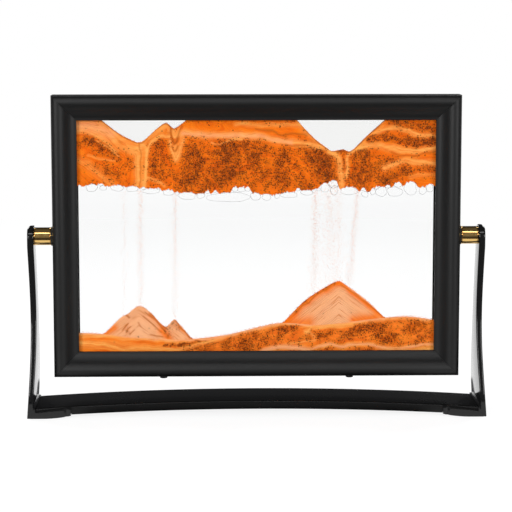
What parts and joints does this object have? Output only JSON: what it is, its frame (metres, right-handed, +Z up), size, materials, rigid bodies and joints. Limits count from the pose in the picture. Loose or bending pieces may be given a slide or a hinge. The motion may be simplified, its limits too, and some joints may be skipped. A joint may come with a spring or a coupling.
{
  "type": "moving sand picture",
  "caption": "Moving sand picture: a framed glass cell of liquid, coloured sand and air bubbles that turns end over end between the two arms of an arched desk stand.",
  "frame": {"origin": "on the floor under the middle of the stand", "axes": "+X across the picture to the right, +Y from front to back, +Z up"},
  "size_m": [0.2536, 0.038, 0.177],
  "materials": {
    "frame_plastic": "satin black moulding",
    "stand_plastic": "glossy black moulding",
    "key_plastic": "grey moulded plastic",
    "brass": "polished",
    "pin_steel": "plated screw",
    "seal_rubber": "matt black",
    "pane_glass": "clear float glass",
    "liquid": "clear liquid",
    "air": "clear bubble",
    "sand": "dyed sand with dark and pale grains"
  },
  "bodies": {
    "stand": {"base_plate": "stand_plastic", "left_arm": "stand_plastic", "right_arm": "stand_plastic", "barrel_left": "brass", "barrel_right": "brass"},
    "picture": {"top_rail": "frame_plastic", "right_rail": "frame_plastic", "bottom_rail": "frame_plastic", "left_rail": "frame_plastic", "corner_key_top_left": "key_plastic", "corner_key_top_right": "key_plastic", "corner_key_bottom_right": "key_plastic", "corner_key_bottom_left": "key_plastic", "front_pane": "pane_glass", "rear_pane": "pane_glass", "gasket": "seal_rubber", "fill_plug_left": "seal_rubber", "fill_plug_right": "seal_rubber", "upper_sand": "sand", "dune_bed": "sand", "left_mound": "sand", "right_mound": "sand", "sand_stream_1": "sand", "sand_stream_2": "sand", "sand_stream_3": "sand", "sand_stream_4": "sand", "liquid_fill": "liquid", "left_crater_liquid": "liquid", "right_crater_liquid": "liquid", "air_bubble_01": "air", "air_bubble_02": "air", "air_bubble_03": "air", "air_bubble_04": "air", "air_bubble_05": "air", "air_bubble_06": "air", "air_bubble_07": "air", "air_bubble_08": "air", "air_bubble_09": "air", "air_bubble_10": "air", "air_bubble_11": "air", "air_bubble_12": "air", "air_bubble_13": "air", "air_bubble_14": "air", "air_bubble_15": "air", "air_bubble_16": "air", "air_bubble_17": "air", "air_bubble_18": "air", "air_bubble_19": "air", "air_bubble_20": "air", "air_bubble_21": "air", "air_bubble_22": "air", "air_bubble_23": "air", "air_bubble_24": "air", "thread_insert_left": "brass", "thread_insert_right": "brass", "washer_left": "seal_rubber", "washer_right": "seal_rubber", "pivot_pin_left": "pin_steel", "pivot_pin_right": "pin_steel"}
  },
  "joints": [
    {"name": "frame_flip", "type": "hinge", "parent": "stand", "child": "picture", "pos_m": [0, 0, 0.09904], "axis": [1, 0, 0], "continuous": true}
  ]
}
